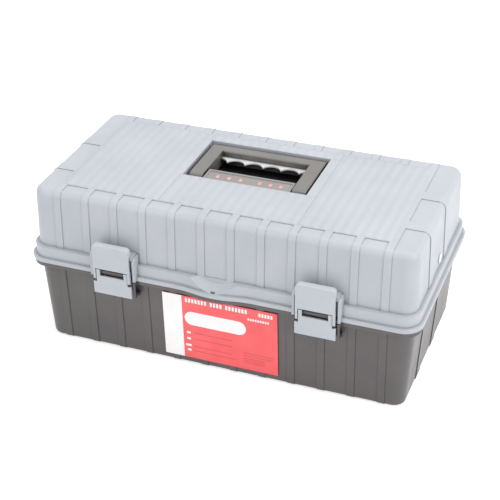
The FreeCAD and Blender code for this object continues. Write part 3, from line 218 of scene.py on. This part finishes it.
def seat_plastic():
    """The dark insert in moulded ABS, coloured by height: a grey plate top that stands for its lit sheen,
    with a painted highlight on edges, and a dull near black below that is painted shade in the deep well.
    """
    material, tree, place = new_material("seat_moulded_abs")
    height = add(tree, "ShaderNodeSeparateXYZ", {"Vector": place})
    plate = add(tree, "ShaderNodeMapRange", {"Value": height.outputs["Z"],
                                             "From Min": (PLATE_TOP - LIT_PLATE_LOW) * MM,
                                             "From Max": (PLATE_TOP - LIT_PLATE_HIGH) * MM})
    cloud = add(tree, "ShaderNodeTexNoise", {"Vector": place, "Scale": pattern_scale(30), "Detail": 3.0})
    grey = tint(tree, spread(tree, cloud.outputs[0], 0.0, 1.0).outputs[0], "#8A8684", "#928E8C")
    edge = painted_edge_highlight(tree, 0.8)
    edge_lit = add(tree, "ShaderNodeMix", {"Factor": edge.outputs[0], "A": grey.outputs["Result"],
                                         "B": linear("#C4C1BE")}, data_type="RGBA")
    # Painted light by height: grey for the lit plate top, near black painted shade below
    body = add(tree, "ShaderNodeMix", {"Factor": plate.outputs[0], "A": linear("#060608"),
                                       "B": edge_lit.outputs["Result"]}, data_type="RGBA")
    gloss = add(tree, "ShaderNodeMapRange", {"Value": plate.outputs[0], "To Min": 0.6, "To Max": 0.33})
    grain = add(tree, "ShaderNodeTexNoise", {"Vector": place, "Scale": pattern_scale(1.2), "Detail": 2.0})
    soft = add(tree, "ShaderNodeBevel", {"Radius": 0.4 * MM}, samples=4)
    skin = add(tree, "ShaderNodeBump", {"Strength": 1.0, "Distance": 0.008 * MM, "Height": grain.outputs[0],
                                        "Normal": soft.outputs["Normal"]})
    shader = add(tree, "ShaderNodeBsdfPrincipled", {
        "Base Color": body.outputs["Result"], "Roughness": gloss.outputs[0], "IOR": 1.5,
        "Normal": skin.outputs["Normal"]})
    return finish_material(material, tree, shader)


def latch_polypropylene():
    """The latches come from their own mould: the lid's colour, a little glossier, with a near-white painted
    highlight on their edges and painted shade in gaps.
    """
    return moulded("latch_moulded_polypropylene", ("#B4BAC1", "#BBC1C7"), "#F2F4F6", 0.34, 1.0, 0.008,
                   edge_mm=0.9)


def tray_polypropylene():
    """Trays in the base's dark grey, satin inside where the core was polished."""
    return moulded("tray_moulded_polypropylene", ("#5E5B5B", "#676363"), "#827E7C", 0.38, 1.2, 0.01)


def divider_polystyrene():
    """Loose dividers, a thin stiff sheet with a lighter painted highlight on its edges and painted shade in
    gaps.
    """
    return moulded("divider_moulded_polystyrene", ("#6B6867", "#737070"), "#8F8B89", 0.33, 1.6, 0.006)


def zinc_steel(name, colour, roughness, streak_mm):
    """Zinc-plated steel: bright grey with a fine drawn streak."""
    material, tree, place = new_material(name)
    along = add(tree, "ShaderNodeMapping", {"Vector": place, "Scale": (1.0, 0.08, 1.0)})
    streak = add(tree, "ShaderNodeTexNoise", {"Vector": along.outputs[0], "Scale": pattern_scale(streak_mm),
                                              "Detail": 4.0})
    shade = tint(tree, spread(tree, streak.outputs[0], 0.0, 1.0).outputs[0], colour, "#D3D4D2")
    gloss = spread(tree, streak.outputs[0], roughness, roughness + 0.15)
    bump = add(tree, "ShaderNodeBump", {"Strength": 1.0, "Distance": 0.004 * MM,
                                        "Height": streak.outputs[0]})
    shader = add(tree, "ShaderNodeBsdfPrincipled", {
        "Base Color": shade.outputs["Result"], "Metallic": 1.0, "Roughness": gloss.outputs[0],
        "Normal": bump.outputs["Normal"]})
    return finish_material(material, tree, shader)


def arm_steel():
    return zinc_steel("arm_zinc_plated_steel", "#B2B3B1", 0.3, 1.5)


def pin_steel():
    return zinc_steel("pin_drawn_steel", "#A9ABAC", 0.22, 0.8)


def rivet_nylon():
    """Pale nylon rivets, slightly translucent and glossy on the crown."""
    return moulded("rivet_moulded_nylon", ("#E6E6E2", "#EEEEEA"), "#F6F6F4", 0.32, 1.0, 0.006, ior=1.53)


def film(name, colours, roughness):
    """Printed film: even ink under a clear satin coat, faintly waved by the bands behind it."""
    material, tree, place = new_material(name)
    ink = add(tree, "ShaderNodeTexNoise", {"Vector": place, "Scale": pattern_scale(22), "Detail": 2.0})
    colour = tint(tree, spread(tree, ink.outputs[0], 0.0, 1.0).outputs[0], *colours)
    wave = add(tree, "ShaderNodeTexNoise", {"Vector": place, "Scale": pattern_scale(14), "Detail": 1.0})
    bump = add(tree, "ShaderNodeBump", {"Strength": 1.0, "Distance": 0.15 * MM, "Height": wave.outputs[0]})
    shader = add(tree, "ShaderNodeBsdfPrincipled", {
        "Base Color": colour.outputs["Result"], "Roughness": roughness, "IOR": 1.48,
        "Coat Weight": 0.3, "Coat Roughness": 0.2, "Normal": bump.outputs["Normal"]})
    return finish_material(material, tree, shader)


def label_coral():
    return film("label_coral_ink_on_film", ("#F2595D", "#F66568"), 0.45)


def label_white():
    return film("label_white_film", ("#F4F4F4", "#FAFAFA"), 0.45)


def label_rule():
    """The thin rules are a darker red that shows as lines a little under a millimetre wide."""
    return film("label_dark_red_ink", ("#CE4A4E", "#D65256"), 0.5)


def mark_coral():
    """Pad-printed coral ink on the plate of the handle's insert."""
    return film("plate_coral_pad_print", ("#E79A90", "#EDA79D"), 0.5)


MATERIAL_OF_SLOT = {
    "base_plastic": base_polypropylene(),
    "lid_plastic": lid_polypropylene(),
    "handle_plastic": handle_nylon(),
    "grip_plastic": grip_polypropylene(),
    "latch_plastic": latch_polypropylene(),
    "tray_plastic": tray_polypropylene(),
    "divider_plastic": divider_polystyrene(),
    "arm_steel": arm_steel(),
    "pin_steel": pin_steel(),
    "rivet_pale": rivet_nylon(),
    "label_film": label_coral(),
}
OWN_MATERIAL = {"handle_seat": seat_plastic()}
LABEL_WHITE = label_white()
LABEL_RULE = label_rule()
MARK_CORAL = mark_coral()
RIB_SKIN_MATERIAL = rib_polypropylene()


def dress_nodes():
    """Every construction piece takes the finish of its slot in the record."""
    slots = {part["node"]: part["material_slot"] for part in frame["record"]["subparts"]}
    for name, node in frame["nodes"].items():
        node.data.materials.clear()
        node.data.materials.append(OWN_MATERIAL.get(name) or MATERIAL_OF_SLOT[slots[name]])


# Pieces made by geometry nodes


def new_tree(name, inputs):
    """A geometry tree with named inputs, and the sockets that they give."""
    tree = bpy.data.node_groups.new(name, "GeometryNodeTree")
    tree.interface.new_socket("Geometry", in_out="INPUT", socket_type="NodeSocketGeometry")
    tree.interface.new_socket("Geometry", in_out="OUTPUT", socket_type="NodeSocketGeometry")
    for label, kind in inputs:
        tree.interface.new_socket(label, in_out="INPUT", socket_type="NodeSocket" + kind)
    entry = tree.nodes.new("NodeGroupInput")
    return tree, {label: entry.outputs[label] for label, _ in inputs}


def end_tree(tree, geometry, material):
    """Real geometry with its material, as the tree's last two steps."""
    real = add(tree, "GeometryNodeRealizeInstances", {"Geometry": geometry})
    painted = add(tree, "GeometryNodeSetMaterial", {"Geometry": real.outputs[0], "Material": material})
    tree.links.new(painted.outputs[0], add(tree, "NodeGroupOutput").inputs[0])
    return tree


def grown(tree, runs):
    """Runs a tree once for each set of inputs, and joins what it makes into one mesh."""
    whole = bmesh.new()
    materials = []
    identifiers = {item.name: item.identifier for item in tree.interface.items_tree
                   if item.in_out == "INPUT" and item.socket_type != "NodeSocketGeometry"}
    for inputs in runs:
        holder = bpy.data.objects.new("grown", bpy.data.meshes.new("grown"))
        bpy.context.scene.collection.objects.link(holder)
        modifier = holder.modifiers.new("grown", "NODES")
        modifier.node_group = tree
        for label, value in inputs.items():
            modifier[identifiers[label]] = value
        graph = bpy.context.evaluated_depsgraph_get()
        mesh = bpy.data.meshes.new_from_object(holder.evaluated_get(graph))
        holder.modifiers.remove(modifier)
        if not materials:
            materials = [slot for slot in mesh.materials if slot]
        whole.from_mesh(mesh)
        bpy.data.objects.remove(holder)
        bpy.data.meshes.remove(mesh)
    for face in whole.faces:
        face.material_index = 0
    return whole, materials


def piece(name, body, slot, whole, materials):
    """A finished piece at the origin, riding on its body."""
    mesh = bpy.data.meshes.new(name)
    whole.to_mesh(mesh)
    whole.free()
    for material in materials:
        mesh.materials.append(material)
    made = bpy.data.objects.new(name, mesh)
    bpy.context.scene.collection.objects.link(made)
    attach(made, body)
    return made


def rib_tree():
    """A sheet of shallow ribs: one block for each run, whose top is a cosine along X."""
    tree, given = new_tree("panel_ribs", [
        ("Count", "Int"), ("Pitch", "Float"), ("First", "Float"), ("Front", "Float"), ("Rear", "Float"),
        ("Foot", "Float"), ("Height", "Float"), ("Run Out", "Float"), ("Material", "Material")])
    length = add(tree, "ShaderNodeMath", {0: given["Rear"], 1: given["Front"]}, operation="SUBTRACT")
    width = add(tree, "ShaderNodeMath", {0: given["Pitch"], 1: given["Count"]}, operation="MULTIPLY")
    size = add(tree, "ShaderNodeCombineXYZ", {"X": width.outputs[0], "Y": length.outputs[0],
                                              "Z": (RIB_SKIN + RIB_SUNK) * MM})
    columns = add(tree, "ShaderNodeMath", {0: given["Count"], 1: RIB_STEPS, 2: 1.0},
                  operation="MULTIPLY_ADD")
    block = add(tree, "GeometryNodeMeshCube", {"Size": size.outputs[0], "Vertices X": columns.outputs[0],
                                               "Vertices Y": 4, "Vertices Z": 2})
    where = add(tree, "ShaderNodeSeparateXYZ", {0: add(tree, "GeometryNodeInputPosition").outputs[0]})
    # The two inner rows of points go to where the ribs start to run out
    half = add(tree, "ShaderNodeMath", {0: length.outputs[0], 1: 0.5}, operation="MULTIPLY")
    reach = add(tree, "ShaderNodeMath", {0: half.outputs[0], 1: given["Run Out"]}, operation="SUBTRACT")
    side = add(tree, "ShaderNodeMath", {0: where.outputs["Y"]}, operation="SIGN")
    inner_y = add(tree, "ShaderNodeMath", {0: side.outputs[0], 1: reach.outputs[0]}, operation="MULTIPLY")
    far = add(tree, "ShaderNodeMath", {0: where.outputs["Y"]}, operation="ABSOLUTE")
    edge = add(tree, "ShaderNodeMath", {0: half.outputs[0], 1: 0.9}, operation="MULTIPLY")
    at_end = add(tree, "ShaderNodeMath", {0: far.outputs[0], 1: edge.outputs[0]}, operation="GREATER_THAN")
    row = add(tree, "ShaderNodeMix", {0: at_end.outputs[0], 2: inner_y.outputs[0], 3: where.outputs["Y"]})
    # One wave for each rib, lowest at the sides of the block, and nothing at the ribs' ends
    half_width = add(tree, "ShaderNodeMath", {0: width.outputs[0], 1: 0.5}, operation="MULTIPLY")
    along = add(tree, "ShaderNodeMath", {0: where.outputs["X"], 1: half_width.outputs[0]}, operation="ADD")
    turn = add(tree, "ShaderNodeMath", {0: along.outputs[0], 1: given["Pitch"]}, operation="DIVIDE")
    angle = add(tree, "ShaderNodeMath", {0: turn.outputs[0], 1: 2 * math.pi}, operation="MULTIPLY")
    wave = add(tree, "ShaderNodeMath", {0: angle.outputs[0]}, operation="COSINE")
    lifted = add(tree, "ShaderNodeMath", {0: 1.0, 1: wave.outputs[0]}, operation="SUBTRACT")
    half_height = add(tree, "ShaderNodeMath", {0: given["Height"], 1: 0.5}, operation="MULTIPLY")
    crest = add(tree, "ShaderNodeMath", {0: lifted.outputs[0], 1: half_height.outputs[0]},
                operation="MULTIPLY")
    inside = add(tree, "ShaderNodeMath", {0: 1.0, 1: at_end.outputs[0]}, operation="SUBTRACT")
    on_top = add(tree, "ShaderNodeMath", {0: where.outputs["Z"], 1: 0.0}, operation="GREATER_THAN")
    shown = add(tree, "ShaderNodeMath", {0: inside.outputs[0], 1: on_top.outputs[0]}, operation="MULTIPLY")
    rise = add(tree, "ShaderNodeMath", {0: crest.outputs[0], 1: shown.outputs[0]}, operation="MULTIPLY")
    height = add(tree, "ShaderNodeMath", {0: where.outputs["Z"], 1: rise.outputs[0]}, operation="ADD")
    place = add(tree, "ShaderNodeCombineXYZ", {"X": where.outputs["X"], "Y": row.outputs[0],
                                               "Z": height.outputs[0]})
    ribs = add(tree, "GeometryNodeSetPosition", {"Geometry": block.outputs["Mesh"],
                                                 "Position": place.outputs[0]})
    facing = add(tree, "ShaderNodeSeparateXYZ", {0: add(tree, "GeometryNodeInputNormal").outputs[0]})
    upward = add(tree, "ShaderNodeMath", {0: facing.outputs["Z"], 1: 0.5}, operation="GREATER_THAN")
    smooth = add(tree, "GeometryNodeSetShadeSmooth", {"Geometry": ribs.outputs[0],
                                                      "Selection": upward.outputs[0]})
    middle_y = add(tree, "ShaderNodeMath", {0: given["Front"], 1: half.outputs[0]}, operation="ADD")
    middle_x = add(tree, "ShaderNodeMath", {0: given["First"], 1: half_width.outputs[0]}, operation="ADD")
    middle_z = add(tree, "ShaderNodeMath", {0: given["Foot"], 1: (RIB_SKIN - RIB_SUNK) / 2 * MM},
                   operation="ADD")
    middle = add(tree, "ShaderNodeCombineXYZ", {"X": middle_x.outputs[0], "Y": middle_y.outputs[0],
                                                "Z": middle_z.outputs[0]})
    placed = add(tree, "GeometryNodeTransform", {"Geometry": smooth.outputs[0],
                                                 "Translation": middle.outputs[0]})
    return end_tree(tree, placed.outputs[0], given["Material"])


RIBS_TO_A_BAND = 3
RIB_PITCH = (2 * PANEL_HALF_LENGTH - BAND_WIDTH) / (BAND_COUNT - 1) / RIBS_TO_A_BAND
RIB_STEPS = 10
RIB_HEIGHT = 0.62
RIB_SUNK = 0.06
# The ribs' skin stands this little above the panel, so that no groove cuts down to it
RIB_SKIN = 0.01
RIB_RUN_OUT = 1.2
RIB_MARGIN = 0.8
# A crest lies over the right edge of every band
RIB_PHASE = PANEL_HALF_LENGTH


def panel_ribs():
    """The fine wavy ribs that cross the lid's panel from front to rear and stop round the recess."""
    front, rear = -PANEL_HALF_DEPTH + RIB_MARGIN, PANEL_HALF_DEPTH - RIB_MARGIN
    groups = {}
    count = int(2 * PANEL_HALF_LENGTH / RIB_PITCH)
    for index in range(count):
        x = RIB_PHASE - RIB_PITCH * (index + 1)
        if abs(x) < RECESS_HALF_LENGTH + RIB_PITCH / 2:
            groups.setdefault("front", []).append((x, front, RECESS_FRONT - RIB_MARGIN))
            groups.setdefault("rear", []).append((x, RECESS_REAR + RIB_MARGIN, rear))
        else:
            groups.setdefault("left" if x < 0 else "right", []).append((x, front, rear))
    runs = []
    for ribs in groups.values():
        first = min(ribs)
        left = first[0] - RIB_PITCH / 2
        runs.append({"Count": len(ribs), "Pitch": RIB_PITCH * MM, "First": left * MM,
                     "Front": first[1] * MM, "Rear": first[2] * MM, "Foot": PANEL_HEIGHT * MM,
                     "Height": RIB_HEIGHT * MM, "Run Out": RIB_RUN_OUT * MM, "Material": RIB_SKIN_MATERIAL})
    return piece("panel_ribs", "lid", "lid_plastic", *grown(rib_tree(), runs))


# Print on the front label, laid on its sloping face


def label_face():
    """Y of the label's front at a height, from the label's own corners."""
    points = [vertex.co for vertex in frame["nodes"]["front_label"].data.vertices]
    low, high = min(p.z for p in points), max(p.z for p in points)
    y_low = min(p.y for p in points if p.z < low + 0.1 * MM)
    y_high = min(p.y for p in points if p.z > high - 0.1 * MM)
    return lambda z: y_low + (y_high - y_low) * (z - low) / (high - low)


PRINT_THICKNESS = 0.08
CORNER_STEPS = 6
LABEL_Y = label_face()


def round_rectangle(left, right, low, high, radius):
    """Points round a flat rectangle with round corners, anticlockwise."""
    corners = ((right - radius, low + radius, -90), (right - radius, high - radius, 0),
               (left + radius, high - radius, 90), (left + radius, low + radius, 180))
    ring = []
    for across, along, start in corners:
        for step in range(CORNER_STEPS + 1):
            angle = math.radians(start + 90 * step / CORNER_STEPS)
            ring.append((across + radius * math.cos(angle), along + radius * math.sin(angle)))
    return ring


def print_bar(whole, left, right, low, high, radius):
    """A printed bar with round corners, a thin prism on the label's face."""
    front, back = [], []
    for x, z in round_rectangle(left, right, low, high, radius):
        y = LABEL_Y(z * MM)
        front.append(whole.verts.new((x * MM, y - PRINT_THICKNESS * MM, z * MM)))
        back.append(whole.verts.new((x * MM, y + PRINT_THICKNESS * MM, z * MM)))
    whole.faces.new(front)
    whole.faces.new(list(reversed(back)))
    for index, vertex in enumerate(front):
        following = (index + 1) % len(front)
        whole.faces.new((vertex, back[index], back[following], front[following]))


# Gap after a block as a share of its cell, and the gap between two groups in cells
BLOCK_GAP = 0.35
GROUP_GAP = 0.8


def block_row(whole, left, right, low, high, groups):
    """Plain blocks in groups, where the label has a line of print."""
    cells = sum(groups) + (len(groups) - 1) * GROUP_GAP
    cell = (right - left) / cells
    x = left
    for count in groups:
        for _ in range(count):
            print_bar(whole, x, x + cell * (1 - BLOCK_GAP), low, high, min(0.5, cell / 4))
            x += cell
        x += cell * GROUP_GAP


# Left, right, low, high and corner of the two large white fields
WHITE_FIELDS = ((-56.3, -36.0, 8.1, 81.4, 0.3), (-33.7, 30.2, 48.2, 63.9, 7.8))
# Left, right, low, high and the blocks in each group of a row
BLOCK_ROWS = ((-32.3, 32.8, 74.6, 79.4, (7, 4, 7)), (43.5, 58.6, 74.2, 78.4, (5,)),
              (32.2, 54.8, 67.6, 70.2, (9,)))
# Left, right and middle height of the short bars at the head of each rule
SHORT_BARS = ((-32.2, -28.2, 38.5), (-32.2, -28.2, 31.3), (-34.0, -27.9, 23.2), (-32.3, -28.2, 17.5))
SHORT_BAR_HALF_HEIGHT = 1.2
SHORT_BAR_CORNER = 0.6


def label_white_print():
    """The white strip, the long lozenge, the rows of blocks and the short bars."""
    whole = bmesh.new()
    for field in WHITE_FIELDS:
        print_bar(whole, *field)
    for row in BLOCK_ROWS:
        block_row(whole, *row)
    for left, right, middle in SHORT_BARS:
        print_bar(whole, left, right, middle - SHORT_BAR_HALF_HEIGHT, middle + SHORT_BAR_HALF_HEIGHT,
                  SHORT_BAR_CORNER)
    return piece("label_white_print", "base", "label_film", whole, [LABEL_WHITE])


PLATE_FACE = PLATE_TOP - PLATE_EDGE_HEIGHT
LOZENGE_LEFT_EDGES = (-33.8, -21.8, -9.8, 10.2, 21.2, 32.0)
LOZENGE_WIDTH = 3.2
LOZENGE_FRONT, LOZENGE_REAR = -7.0, -1.8
LOZENGE_CORNER = 1.5


def plate_print():
    """Six plain coral lozenges on the sunk face of the insert's plate."""
    whole = bmesh.new()
    for left in LOZENGE_LEFT_EDGES:
        ring = round_rectangle(left, left + LOZENGE_WIDTH, LOZENGE_FRONT, LOZENGE_REAR, LOZENGE_CORNER)
        top = [whole.verts.new((x * MM, y * MM, (PLATE_FACE + PRINT_THICKNESS) * MM)) for x, y in ring]
        foot = [whole.verts.new((x * MM, y * MM, (PLATE_FACE - PRINT_THICKNESS) * MM)) for x, y in ring]
        whole.faces.new(top)
        whole.faces.new(list(reversed(foot)))
        for index in range(len(ring)):
            following = (index + 1) % len(ring)
            whole.faces.new((foot[index], foot[following], top[following], top[index]))
    return piece("plate_print", "lid", "label_film", whole, [MARK_CORAL])


# Left, right and height of each rule: a column of four, then a column of five
RULES = ((-24.2, 15.8, 39.0), (-23.4, 15.4, 31.7), (-25.0, 15.0, 22.5), (-26.2, 20.5, 17.1),
         (26.8, 57.9, 27.7), (26.8, 57.9, 24.6), (26.8, 48.9, 21.3), (26.8, 48.9, 18.9), (26.8, 48.8, 16.3))
RULE_HALF_WIDTH = 0.35
RULE_CORNER = 0.2


def label_rules():
    """Thin darker rules in two blocks under the lozenge."""
    whole = bmesh.new()
    for left, right, middle in RULES:
        print_bar(whole, left, right, middle - RULE_HALF_WIDTH, middle + RULE_HALF_WIDTH, RULE_CORNER)
    return piece("label_rules", "base", "label_film", whole, [LABEL_RULE])


# Camera, light and floor

FRAME_PIXELS = 500
SENSOR = 36.0
FOCAL_PIXELS = 1274.61
AZIMUTH, ELEVATION, ROLL = 21.31, 31.81, -1.04
AIM = Vector((0, 0, 90)) * MM
SIDEWAYS, UPWARDS, DISTANCE = -1.13, -5.09, 1289.62


def photo_camera():
    """The camera that saw the case: its place and turn follow from the corners of the case."""
    azimuth, elevation, roll = (math.radians(angle) for angle in (AZIMUTH, ELEVATION, ROLL))
    back = Vector((math.sin(azimuth) * math.cos(elevation), -math.cos(azimuth) * math.cos(elevation),
                   math.sin(elevation)))
    right = Vector((math.cos(azimuth), math.sin(azimuth), 0))
    up = back.cross(right)
    turned_right = right * math.cos(roll) + up * math.sin(roll)
    turned_up = up * math.cos(roll) - right * math.sin(roll)
    data = bpy.data.cameras.new("photo_camera")
    data.sensor_width = SENSOR
    data.lens = FOCAL_PIXELS * SENSOR / FRAME_PIXELS
    data.clip_start, data.clip_end = 0.05, 50
    camera = bpy.data.objects.new("photo_camera", data)
    turn = Matrix((turned_right, turned_up, back)).transposed()
    place = AIM + (back * DISTANCE + turned_right * SIDEWAYS + turned_up * UPWARDS) * MM
    camera.matrix_world = Matrix.Translation(place) @ turn.to_4x4()
    bpy.context.scene.collection.objects.link(camera)
    bpy.context.scene.camera = camera


def seen_directly(tree):
    """1 for rays from the camera and for mirrored or transmitted ones, else 0."""
    path = add(tree, "ShaderNodeLightPath")
    either = add(tree, "ShaderNodeMath", {0: path.outputs["Is Camera Ray"],
                                          1: path.outputs["Is Glossy Ray"]}, operation="MAXIMUM")
    return add(tree, "ShaderNodeMath", {0: either.outputs[0], 1: path.outputs["Is Transmission Ray"]},
               operation="MAXIMUM").outputs[0]


WORLD_LIGHT = 0.78


def white_world():
    """White where it is seen or mirrored, and a plain soft light for everything else."""
    world = bpy.data.worlds.new("white_studio")
    world.use_nodes = True
    tree = world.node_tree
    tree.nodes.clear()
    strength = add(tree, "ShaderNodeMapRange", {"Value": seen_directly(tree), "To Min": WORLD_LIGHT,
                                                "To Max": 1.0})
    light = add(tree, "ShaderNodeBackground", {"Color": linear("#FFFFFF"), "Strength": strength.outputs[0]})
    add(tree, "ShaderNodeOutputWorld", {"Surface": light.outputs[0]})
    bpy.context.scene.world = world


FLOOR_GLOW = 0.5


def white_floor():
    """A pale floor that is white to the eye and keeps the shadow of the case."""
    whole = bmesh.new()
    bmesh.ops.create_grid(whole, x_segments=1, y_segments=1, size=6)
    mesh = bpy.data.meshes.new("floor")
    whole.to_mesh(mesh)
    whole.free()
    floor = bpy.data.objects.new("floor", mesh)
    bpy.context.scene.collection.objects.link(floor)
    material, tree, _ = new_material("floor_white_paper")
    paper = add(tree, "ShaderNodeBsdfDiffuse", {"Color": linear("#E9E9E9")})
    glow = add(tree, "ShaderNodeMath", {0: seen_directly(tree), 1: FLOOR_GLOW}, operation="MULTIPLY")
    light = add(tree, "ShaderNodeEmission", {"Color": linear("#FFFFFF"), "Strength": glow.outputs[0]})
    both = add(tree, "ShaderNodeAddShader", {0: paper.outputs[0], 1: light.outputs[0]})
    mesh.materials.append(finish_material(material, tree, both))


def lamp(name, place, size, watts):
    """A soft square lamp aimed at the case."""
    data = bpy.data.lights.new(name, "AREA")
    data.energy = watts
    data.size = size
    made = bpy.data.objects.new(name, data)
    made.location = Vector(place)
    made.rotation_mode = "QUATERNION"
    made.rotation_quaternion = (made.location - AIM).to_track_quat("Z", "Y")
    bpy.context.scene.collection.objects.link(made)


def studio_lamps():
    lamp("top_softbox", (0.35, 0.25, 2.0), 1.6, 20)
    lamp("right_softbox", (1.9, -0.5, 1.0), 1.2, 14)
    lamp("front_fill", (-0.9, -1.9, 0.9), 1.4, 8)


dress_nodes()
panel_ribs()
label_white_print()
label_rules()
plate_print()
photo_camera()
white_world()
white_floor()
studio_lamps()
bpy.context.scene.view_settings.view_transform = "Standard"
